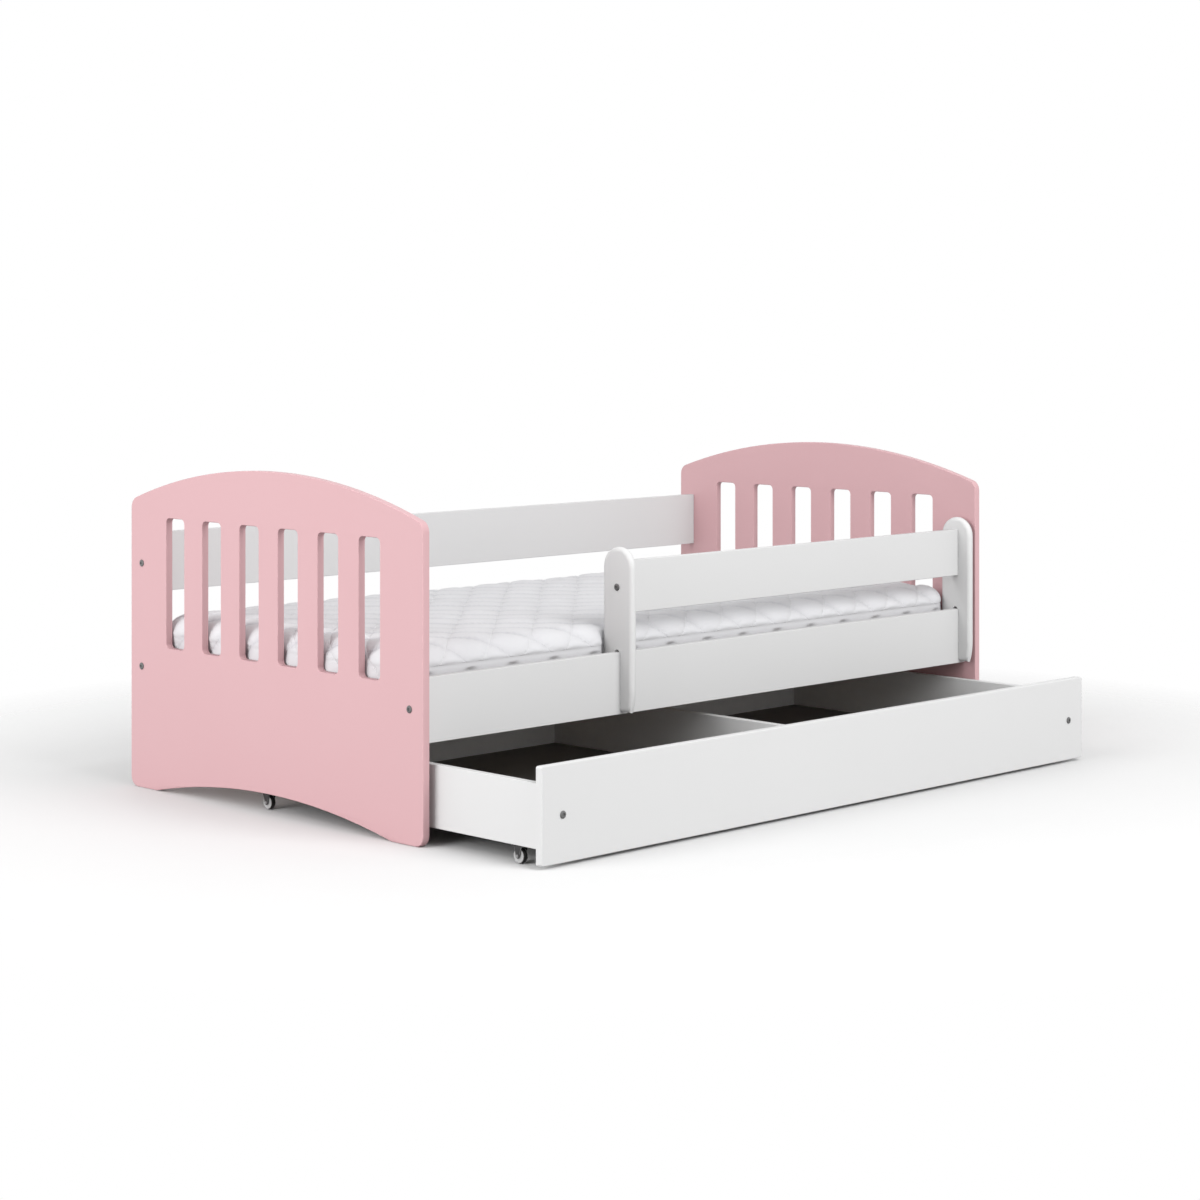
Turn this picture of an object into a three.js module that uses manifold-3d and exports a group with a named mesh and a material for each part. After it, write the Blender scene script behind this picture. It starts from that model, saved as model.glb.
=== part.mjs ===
// A toddler bed built from flat boards: two slotted end panels, rails bolted between them, a slatted
// base with a mattress, a guard that hooks over the front rail, and a storage drawer on castors.
// Millimetres. +X runs from the foot end to the head end, -Y is the front and +Z is up. The floor is Z = 0.
import * as THREE from 'three';
import { mergeVertices } from 'three/addons/utils/BufferGeometryUtils.js';
import Module from 'manifold-3d';

const wasm = await Module();
wasm.setup();

// ---- Driving dimensions ----

const BED_LENGTH = 1640; // over the outer faces of the end panels
const BED_WIDTH = 900; // width of an end panel
const BOARD = 16; // thickness of the panels, rails, posts and drawer boards
const TOUCH = 0.3; // gap between two pieces that touch
const BOARD_EDGE = 1; // rounding of a board's edges
const CUT_PAST = 1; // how far a cutter runs past a face

const PANEL_HEIGHT = 655; // floor to the crown of an end panel
const CROWN_RISE = 75; // crown above the panel's top corners
const PANEL_TOP_CORNER = 22;
const PANEL_FOOT_CORNER = 20;
const PANEL_EDGE = 1.2; // rounding of the painted edges
const FOOT_WIDTH = 88; // each foot, from the panel's side to the arch
const ARCH_RISE = 39;
const SLOT_WIDTH = 60;
const BAR_WIDTH = 60; // panel left between two slots
const SLOT_SIDE_MARGIN = 100; // least width left beside the outer slots
const SLOT_BELOW_RAIL_TOP = 12;
const SLOT_BELOW_CROWN = 107;
const SLOT_CORNER = 10;

const RAIL_BOTTOM = 180;
const RAIL_HEIGHT = 120;
const RAIL_INSET = 29; // from a panel's side to a rail's outer face
const BACK_RAIL_PLACE = 0.5875; // part of the room over the lower rail that is left under the upper one
const RAIL_BOLT_RISE = 65; // bolt above a lower rail's bottom edge
const BACK_RAIL_BOLT_RISE = 59;

const LEDGER_WIDTH = 20;
const LEDGER_HEIGHT = 30;
const LEDGER_END_GAP = 70; // keeps the barrel nuts in reach
const LEDGER_BELOW_RAIL_TOP = 56;
const SLAT_COUNT = 10;
const SLAT_WIDTH = 68;
const SLAT_THICKNESS = 18;
const SLAT_EDGE = 2; // rounding of a slat's edges
const SLAT_END_GAP = 5; // between a slat's end and the rail
const SLAT_FIRST = 12; // outer slat's edge from the ledger's end
const STRAP_WIDTH = 25;
const STRAP_THICKNESS = 1.2;
const STRAP_INSET = 95; // strap's centre from the slat's end

const MATTRESS_THICKNESS = 86;
const MATTRESS_END_GAP = 4;
const MATTRESS_FRONT_GAP = 19;
const MATTRESS_REAR_GAP = 11;
const MATTRESS_CORNER = 45;
const MATTRESS_EDGE = 20;
const MATTRESS_POST_GAP = 3; // room around a guard post's rear leg

const GUARD_LENGTH = 1086;
const GUARD_END_GAP = 8; // between the guard and the head panel
const POST_WIDTH = 80;
const POST_ABOVE_RAIL = 204;
const POST_BELOW_RAIL_TOP = 116; // front leg
const POST_REAR_LEG = 32; // rear leg below the rail's top
const POST_NOSE_FLAT = 1; // left flat between a post's two rounded edges
const POST_LEG_CORNER = 11; // foot of a post's rear leg
const POST_LEG_TAPER = 7; // how far the front leg curves back at its foot
const POST_LEG_TAPER_HEIGHT = 45;
const POST_SLOT_PLAY = 0.5; // on each side of the rail
const POST_RELIEF_RADIUS = 6.5;
const POST_RELIEF_DROP = 1; // relief hole's centre below the rail's top
const GUARD_BOARD_HEIGHT = 102;
const GUARD_GAP = 75; // open height between the rail and the guard board

const DRAWER_OPEN = 316; // how far the drawer stands out at rest
const DRAWER_TOP_GAP = 2; // below the front rail
const DRAWER_END_GAP = 4; // between the drawer front and an end panel
const DRAWER_FLOOR_GAP = 6;
const DRAWER_FRONT_CORNER = 4;
const DRAWER_SIDE_INSET = 10; // side board's outer face from the drawer front's end
const DRAWER_SIDE_DROP = 32; // box's top below the front's top
const DRAWER_BACK_GAP = 18; // closed box to the rear rail
const DRAWER_BOTTOM = 3;
const DRAWER_BOTTOM_RISE = 3; // bottom board above the box's lower edge
const GROOVE_DEPTH = 6;
const GROOVE_PLAY = 0.3;
const DRAWER_BOLT_INSET = 50; // from the drawer front's end
const DRAWER_BOLT_DROP = 88; // from the drawer front's top
const DRAWER_BOLT_BITE = 12; // into the inner front board

const WHEEL_DIAMETER = 27;
const WHEEL_WIDTH = 11.4;
const WHEEL_SHOULDER = 2.5; // rounded corner of the tyre
const WHEEL_SHOULDER_DROP = 0.3; // part of the shoulder lost half-way round it
const WHEEL_BORE_PLAY = 0.3;
const WHEEL_SIDE_PLAY = 0.8;
const WHEEL_TOP_GAP = 3;
const AXLE_RADIUS = 1.6;
const AXLE_HEAD_RADIUS = 2.8;
const AXLE_HEAD = 0.8;
const CASTOR_SHEET = 1.5; // steel of the castor's bracket
const CASTOR_PLATE_LENGTH = 30;
const CASTOR_LEG_TOP = 20;
const CASTOR_LEG_TIP = 4.5;
const FRONT_CASTOR_SETBACK = 72; // from the drawer front's face
const REAR_CASTOR_SETBACK = 27; // from the box's back

const BOLT_RADIUS = 3;
const BOLT_HOLE_PLAY = 0.5;
const BOLT_HEAD_RADIUS = 7;
const BOLT_HEAD = 2.2;
const BOLT_HEAD_WALL = 0.4; // part of the head's height that stands straight
const BOLT_HEAD_BEVEL = 1.2;
const BOLT_TIP_BEVEL = 0.6;
const BOLT_SOCKET_RADIUS = 2.4;
const BOLT_SOCKET_DEPTH = 1.5;
const BOLT_PAST_NUT = 4;
const NUT_RADIUS = 5;
const NUT_BELOW_FACE = 1.5; // a barrel nut's ends below the board's two faces
const NUT_PLAY = 0.3;
const NUT_DEPTH = 34; // nut's centre from the board's end

const ROUND_SIDES = 12; // sides of a drilled hole or a fastener
const HEXAGON = 6;
const WHEEL_SIDES = 24;
const CORNER_STEPS = 4; // straight steps in a rounded corner
const CROWN_STEPS = 28;
const ARCH_STEPS = 16;
const POST_TOP_STEPS = 16;
const NOSE_STEPS = 3; // steps across a post's rounded edge

// ---- Places worked out from them ----

const panelInner = BED_LENGTH / 2 - BOARD;
const railOuterY = BED_WIDTH / 2 - RAIL_INSET;
const railInnerY = railOuterY - BOARD;
const railY = railOuterY - BOARD / 2;
const railTop = RAIL_BOTTOM + RAIL_HEIGHT;
const railEnd = panelInner - TOUCH;
const panelCorner = PANEL_HEIGHT - CROWN_RISE;
const backRailRoom = panelCorner - railTop - RAIL_HEIGHT;
const backRailBottom = railTop + backRailRoom * BACK_RAIL_PLACE;

const ledgerTop = railTop - LEDGER_BELOW_RAIL_TOP;
const ledgerEnd = railEnd - LEDGER_END_GAP;
const ledgerInnerY = railInnerY - TOUCH - LEDGER_WIDTH;
const slatBottom = ledgerTop + TOUCH;
const slatTop = slatBottom + SLAT_THICKNESS;
const slatEndY = railInnerY - SLAT_END_GAP;
const strapTop = slatTop + TOUCH + STRAP_THICKNESS;
const mattressBottom = strapTop + TOUCH;

const guardRight = panelInner - GUARD_END_GAP;
const guardLeft = guardRight - GUARD_LENGTH;
const guardBoardBottom = railTop + GUARD_GAP;
const guardBoardTop = guardBoardBottom + GUARD_BOARD_HEIGHT;
const guardBoltZ = (guardBoardBottom + guardBoardTop) / 2;

const drawerFrontTop = RAIL_BOTTOM - DRAWER_TOP_GAP;
const drawerHalf = panelInner - DRAWER_END_GAP;
const drawerSideOuter = drawerHalf - DRAWER_SIDE_INSET;
const drawerSideInner = drawerSideOuter - BOARD;
const castorHeight = WHEEL_DIAMETER + WHEEL_TOP_GAP + CASTOR_SHEET;
const boxBottom = castorHeight + TOUCH;
const boxTop = drawerFrontTop - DRAWER_SIDE_DROP;
const drawerFaceY = -railOuterY;
const innerFrontY = drawerFaceY + BOARD + TOUCH;
const boxBackY = railInnerY - DRAWER_BACK_GAP;
const bottomZ = boxBottom + DRAWER_BOTTOM_RISE;
const boltHeadProud = TOUCH + BOLT_HEAD;
const nutLength = BOARD - 2 * NUT_BELOW_FACE;
const postNose = (BOARD - POST_NOSE_FLAT) / 2;

// ---- Solids ----

// Turns a closed three.js geometry into a solid that can be cut and joined.
function solid(geometry) {
  const bare = geometry.clone();
  bare.deleteAttribute('normal');
  bare.deleteAttribute('uv');
  const merged = mergeVertices(bare, 1e-4);
  const mesh = new wasm.Mesh({
    numProp: 3,
    vertProperties: new Float32Array(merged.attributes.position.array),
    triVerts: new Uint32Array(merged.index.array),
  });
  return new wasm.Manifold(mesh);
}

function geometryOf(body) {
  const mesh = body.getMesh();
  const geometry = new THREE.BufferGeometry();
  geometry.setAttribute('position', new THREE.BufferAttribute(mesh.vertProperties, 3));
  geometry.setIndex(new THREE.BufferAttribute(mesh.triVerts, 1));
  geometry.computeVertexNormals();
  return geometry;
}

function cut(geometry, cutters) {
  let body = solid(geometry);
  for (const cutter of cutters) body = body.subtract(solid(cutter));
  return geometryOf(body);
}

const X = new THREE.Vector3(1, 0, 0);
const Y = new THREE.Vector3(0, 1, 0);
const Z = new THREE.Vector3(0, 0, 1);

// How a board stands: the outline's two axes, then the way its thickness runs.
const FACING = {
  end: new THREE.Matrix4().makeBasis(Y, Z, X),
  side: new THREE.Matrix4().makeBasis(X, Z, Y.clone().negate()),
  flat: new THREE.Matrix4().makeBasis(X, Y, Z),
};

// A board of any outline, with rounded edges, centred on its own thickness.
function plate(outline, thickness, facing, edge, edgeSteps = 1) {
  const geometry = new THREE.ExtrudeGeometry(outline, {
    depth: thickness - 2 * edge,
    bevelEnabled: edge > 0,
    bevelThickness: edge,
    bevelSize: edge,
    bevelOffset: -edge,
    bevelSegments: edgeSteps,
    curveSegments: CORNER_STEPS,
  });
  geometry.translate(0, 0, edge - thickness / 2);
  return geometry.applyMatrix4(FACING[facing]);
}

const QUARTER = Math.PI / 2;

// An arc of short straight steps, without its first point, which the outline already holds.
function addArc(shape, cx, cy, radius, from, to, steps = CORNER_STEPS) {
  for (let i = 1; i <= steps; i++) {
    const angle = from + ((to - from) * i) / steps;
    shape.lineTo(cx + radius * Math.cos(angle), cy + radius * Math.sin(angle));
  }
}

function roundedRectangle(x0, y0, x1, y1, radius) {
  const s = new THREE.Shape();
  s.moveTo(x0 + radius, y0);
  s.lineTo(x1 - radius, y0);
  addArc(s, x1 - radius, y0 + radius, radius, -QUARTER, 0);
  s.lineTo(x1, y1 - radius);
  addArc(s, x1 - radius, y1 - radius, radius, 0, QUARTER);
  s.lineTo(x0 + radius, y1);
  addArc(s, x0 + radius, y1 - radius, radius, QUARTER, Math.PI);
  s.lineTo(x0, y0 + radius);
  addArc(s, x0 + radius, y0 + radius, radius, Math.PI, 3 * QUARTER);
  return s;
}

function rectangle(x0, y0, x1, y1) {
  const corners = [[x0, y0], [x1, y0], [x1, y1], [x0, y1]];
  return new THREE.Shape(corners.map(([x, y]) => new THREE.Vector2(x, y)));
}

// A rectangular board that fills the space between two corners, less its rounded edges.
function board([x0, y0, z0], [x1, y1, z1], facing, edge = BOARD_EDGE) {
  const spans = {
    end: [y0, z0, y1, z1, x1 - x0],
    side: [x0, z0, x1, z1, y1 - y0],
    flat: [x0, y0, x1, y1, z1 - z0],
  };
  const [a0, b0, a1, b1, thickness] = spans[facing];
  const middle = { end: [(x0 + x1) / 2, 0, 0], side: [0, (y0 + y1) / 2, 0], flat: [0, 0, (z0 + z1) / 2] };
  return plate(rectangle(a0, b0, a1, b1), thickness, facing, edge).translate(...middle[facing]);
}

function block([x0, y0, z0], [x1, y1, z1]) {
  const geometry = new THREE.BoxGeometry(x1 - x0, y1 - y0, z1 - z0);
  return geometry.translate((x0 + x1) / 2, (y0 + y1) / 2, (z0 + z1) / 2);
}

// A straight round rod or hole between two points.
function rod(from, to, radius, sides = ROUND_SIDES) {
  const start = new THREE.Vector3(...from);
  const along = new THREE.Vector3(...to).sub(start);
  const geometry = new THREE.CylinderGeometry(radius, radius, along.length(), sides);
  const turn = new THREE.Quaternion().setFromUnitVectors(Y, along.clone().normalize());
  geometry.applyQuaternion(turn);
  return geometry.translate(...start.addScaledVector(along, 0.5).toArray());
}

// A shape turned about its axis, with the axis laid along a direction from a point.
function turned(profile, sides, at, direction) {
  const points = profile.map(([radius, height]) => new THREE.Vector2(radius, height));
  const geometry = new THREE.LatheGeometry(points, sides);
  geometry.applyQuaternion(new THREE.Quaternion().setFromUnitVectors(Y, direction));
  return geometry.translate(...at);
}

// ---- Materials ----

function finish(color, roughness, metalness = 0) {
  return () => new THREE.MeshStandardMaterial({ color, roughness, metalness });
}

const pinkPaint = finish(0xecbdc2, 0.5);
const whiteLaminate = finish(0xe9e9e9, 0.45);
const bareWood = finish(0xd9b98a, 0.7);
const darkHardboard = finish(0x6f6c69, 0.6);
const greyWebbing = finish(0xcfcfd2, 0.9);
const quiltedCover = finish(0xe8e7ec, 0.95);
const darkSteel = finish(0x55575a, 0.4, 0.8);
const zincSteel = finish(0xa8aaad, 0.35, 0.9);
const castorPlastic = finish(0x2b2b2d, 0.55);

function piece(group, name, geometry, material) {
  const mesh = new THREE.Mesh(geometry, material());
  mesh.name = name;
  group.add(mesh);
}

// ---- Bolted joints: a bolt through one board into a barrel nut in the end of the next ----

const shankEnd = TOUCH + NUT_DEPTH + BOLT_PAST_NUT; // past the first board's inner face

// Points along a bolt's axis are counted from the face that its head stands on. The nut goes in from
// the board's rear face.
function boltedJoint(name, face, direction) {
  const axis = new THREE.Vector3(...direction);
  const at = (distance) => axis.clone().multiplyScalar(distance).add(new THREE.Vector3(...face)).toArray();
  const nutAt = at(BOARD + TOUCH + NUT_DEPTH);
  const nutFace = (offset) => [nutAt[0], nutAt[1] + offset, nutAt[2]];
  const blindEnd = -nutLength / 2 - NUT_PLAY;
  return {
    name,
    face,
    axis,
    length: BOARD + shankEnd,
    throughHole: rod(at(-CUT_PAST), at(BOARD + CUT_PAST), BOLT_RADIUS + BOLT_HOLE_PLAY),
    endHole: rod(at(BOARD - CUT_PAST), at(BOARD + shankEnd + CUT_PAST), BOLT_RADIUS + BOLT_HOLE_PLAY),
    nutHole: rod(nutFace(blindEnd), nutFace(BOARD / 2 + CUT_PAST), NUT_RADIUS + NUT_PLAY),
    nutFrom: nutFace(-nutLength / 2),
    nutTo: nutFace(nutLength / 2),
  };
}

// Low round head with a hexagon socket. The head stands off its face by the touching gap.
function bolt(group, name, face, axis, length) {
  const profile = [
    [0, length],
    [BOLT_RADIUS - BOLT_TIP_BEVEL, length],
    [BOLT_RADIUS, length - BOLT_TIP_BEVEL],
    [BOLT_RADIUS, -TOUCH],
    [BOLT_HEAD_RADIUS, -TOUCH],
    [BOLT_HEAD_RADIUS, -TOUCH - BOLT_HEAD * BOLT_HEAD_WALL],
    [BOLT_HEAD_RADIUS - BOLT_HEAD_BEVEL, -boltHeadProud],
    [0, -boltHeadProud],
  ].reverse();
  const body = turned(profile, ROUND_SIDES, face, axis);
  const at = (depth) => new THREE.Vector3(...face).addScaledVector(axis, depth - boltHeadProud).toArray();
  const socket = rod(at(-CUT_PAST), at(BOLT_SOCKET_DEPTH), BOLT_SOCKET_RADIUS, HEXAGON);
  piece(group, name, cut(body, [socket]), darkSteel);
}

function fasten(group, joint) {
  bolt(group, `${joint.name}_bolt`, joint.face, joint.axis, joint.length);
  const nut = rod(joint.nutFrom, joint.nutTo, NUT_RADIUS);
  piece(group, `${joint.name}_nut`, cut(nut, [joint.endHole]), zincSteel);
}

// ---- End panels ----

// Crowned board with a row of upright slots and an arch between its feet.
function endPanelOutline() {
  const half = BED_WIDTH / 2;
  const crownRadius = (half * half + CROWN_RISE * CROWN_RISE) / (2 * CROWN_RISE);
  const crownZ = PANEL_HEIGHT - crownRadius;
  const cornerY = half - PANEL_TOP_CORNER;
  const cornerZ = crownZ + Math.sqrt((crownRadius - PANEL_TOP_CORNER) ** 2 - cornerY ** 2);
  const cornerAngle = Math.atan2(cornerZ - crownZ, cornerY);
  const archHalf = half - FOOT_WIDTH;
  const archRadius = (archHalf * archHalf + ARCH_RISE * ARCH_RISE) / (2 * ARCH_RISE);
  const archAngle = Math.asin(archHalf / archRadius);
  const foot = PANEL_FOOT_CORNER;
  const s = new THREE.Shape();
  s.moveTo(archHalf, 0);
  s.lineTo(half - foot, 0);
  addArc(s, half - foot, foot, foot, -QUARTER, 0);
  s.lineTo(half, cornerZ);
  addArc(s, cornerY, cornerZ, PANEL_TOP_CORNER, 0, cornerAngle);
  addArc(s, 0, crownZ, crownRadius, cornerAngle, Math.PI - cornerAngle, CROWN_STEPS);
  addArc(s, -cornerY, cornerZ, PANEL_TOP_CORNER, Math.PI - cornerAngle, Math.PI);
  s.lineTo(-half, foot);
  addArc(s, -half + foot, foot, foot, Math.PI, 3 * QUARTER);
  s.lineTo(-archHalf, 0);
  const archZ = ARCH_RISE - archRadius;
  addArc(s, 0, archZ, archRadius, QUARTER + archAngle, QUARTER - archAngle, ARCH_STEPS);
  return s;
}

function slotCentres() {
  const pitch = SLOT_WIDTH + BAR_WIDTH;
  const count = Math.floor((BED_WIDTH - 2 * SLOT_SIDE_MARGIN + BAR_WIDTH) / pitch);
  return Array.from({ length: count }, (_, i) => (i - (count - 1) / 2) * pitch);
}

function endPanel(group, name, side, joints) {
  const outline = endPanelOutline();
  const low = railTop - SLOT_BELOW_RAIL_TOP;
  const high = PANEL_HEIGHT - SLOT_BELOW_CROWN;
  for (const y of slotCentres()) {
    outline.holes.push(roundedRectangle(y - SLOT_WIDTH / 2, low, y + SLOT_WIDTH / 2, high, SLOT_CORNER));
  }
  const geometry = plate(outline, BOARD, 'end', PANEL_EDGE);
  geometry.translate(side * (BED_LENGTH / 2 - BOARD / 2), 0, 0);
  piece(group, name, cut(geometry, joints.map((joint) => joint.throughHole)), pinkPaint);
}

// ---- Frame ----

function railJoints(name, y, boltZ) {
  const outer = BED_LENGTH / 2;
  return [
    boltedJoint(`${name}_foot`, [-outer, y, boltZ], [1, 0, 0]),
    boltedJoint(`${name}_head`, [outer, y, boltZ], [-1, 0, 0]),
  ];
}

function rail(group, name, y, bottom, joints) {
  const low = [-railEnd, y - BOARD / 2, bottom];
  const high = [railEnd, y + BOARD / 2, bottom + RAIL_HEIGHT];
  const holes = joints.flatMap((joint) => [joint.endHole, joint.nutHole]);
  piece(group, name, cut(board(low, high, 'side'), holes), whiteLaminate);
}

function frame(group) {
  const front = railJoints('front_rail', -railY, RAIL_BOTTOM + RAIL_BOLT_RISE);
  const rear = railJoints('rear_rail', railY, RAIL_BOTTOM + RAIL_BOLT_RISE);
  const upper = railJoints('rear_upper_rail', railY, backRailBottom + BACK_RAIL_BOLT_RISE);
  const joints = [...front, ...rear, ...upper];
  endPanel(group, 'foot_panel', -1, [front[0], rear[0], upper[0]]);
  endPanel(group, 'head_panel', 1, [front[1], rear[1], upper[1]]);
  rail(group, 'front_rail', -railY, RAIL_BOTTOM, front);
  rail(group, 'rear_rail', railY, RAIL_BOTTOM, rear);
  rail(group, 'rear_upper_rail', railY, backRailBottom, upper);
  for (const joint of joints) fasten(group, joint);
}

// ---- Slatted base and mattress ----

function slattedBase(group) {
  const ledgerOuterY = railInnerY - TOUCH;
  for (const [name, side] of [['front_ledger', -1], ['rear_ledger', 1]]) {
    const low = Math.min(side * ledgerOuterY, side * ledgerInnerY);
    const from = [-ledgerEnd, low, ledgerTop - LEDGER_HEIGHT];
    const to = [ledgerEnd, low + LEDGER_WIDTH, ledgerTop];
    piece(group, name, board(from, to, 'side'), bareWood);
  }
  const first = -ledgerEnd + SLAT_FIRST + SLAT_WIDTH / 2;
  const pitch = (-2 * first) / (SLAT_COUNT - 1);
  for (let i = 0; i < SLAT_COUNT; i++) {
    const x = first + i * pitch;
    const from = [x - SLAT_WIDTH / 2, -slatEndY, slatBottom];
    const to = [x + SLAT_WIDTH / 2, slatEndY, slatTop];
    piece(group, `slat_${String(i + 1).padStart(2, '0')}`, board(from, to, 'flat', SLAT_EDGE), bareWood);
  }
  for (const [name, side] of [['slat_strap_front', -1], ['slat_strap_rear', 1]]) {
    const y = side * (slatEndY - STRAP_INSET);
    const from = [first - SLAT_WIDTH / 2, y - STRAP_WIDTH / 2, slatTop + TOUCH];
    const to = [-first + SLAT_WIDTH / 2, y + STRAP_WIDTH / 2, strapTop];
    piece(group, name, block(from, to), greyWebbing);
  }
}

// A plain cushion with notches that leave room for the rear legs of the guard posts.
function mattress(group) {
  const halfX = panelInner - MATTRESS_END_GAP;
  const front = -railInnerY + MATTRESS_FRONT_GAP;
  const rear = railInnerY - MATTRESS_REAR_GAP;
  const outline = roundedRectangle(-halfX, front, halfX, rear, MATTRESS_CORNER);
  const body = plate(outline, MATTRESS_THICKNESS, 'flat', MATTRESS_EDGE, NOSE_STEPS);
  body.translate(0, 0, mattressBottom + MATTRESS_THICKNESS / 2);
  const notchRear = -railY + POST_WIDTH / 2 + MATTRESS_POST_GAP;
  const notches = [guardLeft, guardRight - BOARD].map((x) => block(
    [x - MATTRESS_POST_GAP, front - CUT_PAST, mattressBottom - CUT_PAST],
    [x + BOARD + MATTRESS_POST_GAP, notchRear, mattressBottom + MATTRESS_THICKNESS + CUT_PAST],
  ));
  piece(group, 'mattress', cut(body, notches), quiltedCover);
}

// ---- Guard: two slotted posts that hook over the front rail, with a board between them ----

function guardPostOutline() {
  const front = -railY - POST_WIDTH / 2;
  const rear = -railY + POST_WIDTH / 2;
  const shoulder = railTop + POST_ABOVE_RAIL - POST_WIDTH / 2;
  const frontFoot = railTop - POST_BELOW_RAIL_TOP;
  const rearFoot = railTop - POST_REAR_LEG;
  const taperTop = frontFoot + POST_LEG_TAPER_HEIGHT;
  const s = new THREE.Shape();
  s.moveTo(-railY, frontFoot);
  s.lineTo(-railY, rearFoot);
  const corner = POST_LEG_CORNER;
  s.lineTo(rear - corner, rearFoot);
  addArc(s, rear - corner, rearFoot + corner, corner, -QUARTER, 0);
  s.lineTo(rear, shoulder);
  addArc(s, -railY, shoulder, POST_WIDTH / 2, 0, Math.PI, POST_TOP_STEPS);
  s.lineTo(front, taperTop);
  const taperRadius = (POST_LEG_TAPER_HEIGHT ** 2 + POST_LEG_TAPER ** 2) / (2 * POST_LEG_TAPER);
  const taperAngle = Math.asin(POST_LEG_TAPER_HEIGHT / taperRadius);
  addArc(s, front + taperRadius, taperTop, taperRadius, Math.PI, Math.PI + taperAngle);
  return s;
}

function guardPost(group, name, left, joint) {
  const geometry = plate(guardPostOutline(), BOARD, 'end', postNose, NOSE_STEPS);
  geometry.translate(left + BOARD / 2, 0, 0);
  const slotHalf = BOARD / 2 + POST_SLOT_PLAY;
  const slotBottom = railTop - POST_BELOW_RAIL_TOP - CUT_PAST;
  const reliefZ = railTop - POST_RELIEF_DROP;
  const near = left - CUT_PAST;
  const far = left + BOARD + CUT_PAST;
  const slot = block([near, -railY - slotHalf, slotBottom], [far, -railY + slotHalf, railTop + TOUCH]);
  const relief = rod([near, -railY, reliefZ], [far, -railY, reliefZ], POST_RELIEF_RADIUS);
  piece(group, name, cut(geometry, [slot, relief, joint.throughHole]), whiteLaminate);
}

function guard(group) {
  const foot = boltedJoint('guard_foot', [guardLeft, -railY, guardBoltZ], [1, 0, 0]);
  const head = boltedJoint('guard_head', [guardRight, -railY, guardBoltZ], [-1, 0, 0]);
  guardPost(group, 'guard_post_foot', guardLeft, foot);
  guardPost(group, 'guard_post_head', guardRight - BOARD, head);
  const from = [guardLeft + BOARD + TOUCH, -railOuterY, guardBoardBottom];
  const to = [guardRight - BOARD - TOUCH, -railInnerY, guardBoardTop];
  const holes = [foot, head].flatMap((joint) => [joint.endHole, joint.nutHole]);
  piece(group, 'guard_board', cut(board(from, to, 'side'), holes), whiteLaminate);
  fasten(group, foot);
  fasten(group, head);
}

// ---- Drawer, drawn closed ----

function drawerBox(group) {
  const bottomHalf = drawerSideInner + GROOVE_DEPTH - GROOVE_PLAY;
  const boxFrontY = innerFrontY + BOARD;
  const boxRearY = boxBackY - BOARD;
  const bottomFront = boxFrontY - GROOVE_DEPTH + GROOVE_PLAY;
  const bottomRear = boxRearY + GROOVE_DEPTH - GROOVE_PLAY;
  const grow = (corner, by) => corner.map((value) => value + by);
  const bottomLow = [-bottomHalf, bottomFront, bottomZ];
  const bottomHigh = [bottomHalf, bottomRear, bottomZ + DRAWER_BOTTOM];
  const groove = block(grow(bottomLow, -GROOVE_PLAY), grow(bottomHigh, GROOVE_PLAY));
  const between = drawerSideInner - TOUCH;

  const boltZ = drawerFrontTop - DRAWER_BOLT_DROP;
  const boltLength = BOARD + TOUCH + DRAWER_BOLT_BITE;
  const boltXs = { foot: -drawerHalf + DRAWER_BOLT_INSET, head: drawerHalf - DRAWER_BOLT_INSET };
  const boltHoles = Object.values(boltXs).map((x) => rod(
    [x, drawerFaceY - CUT_PAST, boltZ],
    [x, drawerFaceY + boltLength + CUT_PAST, boltZ],
    BOLT_RADIUS + BOLT_HOLE_PLAY,
  ));

  const front = plate(
    roundedRectangle(-drawerHalf, DRAWER_FLOOR_GAP, drawerHalf, drawerFrontTop, DRAWER_FRONT_CORNER),
    BOARD,
    'side',
    BOARD_EDGE,
  );
  front.translate(0, drawerFaceY + BOARD / 2, 0);
  piece(group, 'drawer_front', cut(front, boltHoles), whiteLaminate);

  const inner = board([-between, innerFrontY, boxBottom], [between, boxFrontY, boxTop], 'side');
  piece(group, 'drawer_inner_front', cut(inner, [groove, ...boltHoles]), whiteLaminate);
  const back = board([-between, boxRearY, boxBottom], [between, boxBackY, boxTop], 'side');
  piece(group, 'drawer_back', cut(back, [groove]), whiteLaminate);
  const sideFoot = board(
    [-drawerSideOuter, innerFrontY, boxBottom], [-drawerSideInner, boxBackY, boxTop], 'end',
  );
  piece(group, 'drawer_side_foot', cut(sideFoot, [groove]), whiteLaminate);
  const sideHead = board(
    [drawerSideInner, innerFrontY, boxBottom], [drawerSideOuter, boxBackY, boxTop], 'end',
  );
  piece(group, 'drawer_side_head', cut(sideHead, [groove]), whiteLaminate);
  piece(group, 'drawer_bottom', block(bottomLow, bottomHigh), darkHardboard);
  const divider = board(
    [-BOARD / 2, boxFrontY + TOUCH, bottomZ + DRAWER_BOTTOM + TOUCH],
    [BOARD / 2, boxRearY - TOUCH, boxTop],
    'end',
  );
  piece(group, 'drawer_divider', divider, whiteLaminate);
  for (const [end, x] of Object.entries(boltXs)) {
    bolt(group, `drawer_${end}_bolt`, [x, drawerFaceY, boltZ], Y, boltLength);
  }
}

// ---- Castors: a bent bracket, an axle and a wheel that rolls along Y ----

const axleZ = WHEEL_DIAMETER / 2;
const legInner = WHEEL_WIDTH / 2 + WHEEL_SIDE_PLAY;
const legOuter = legInner + CASTOR_SHEET;

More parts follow.
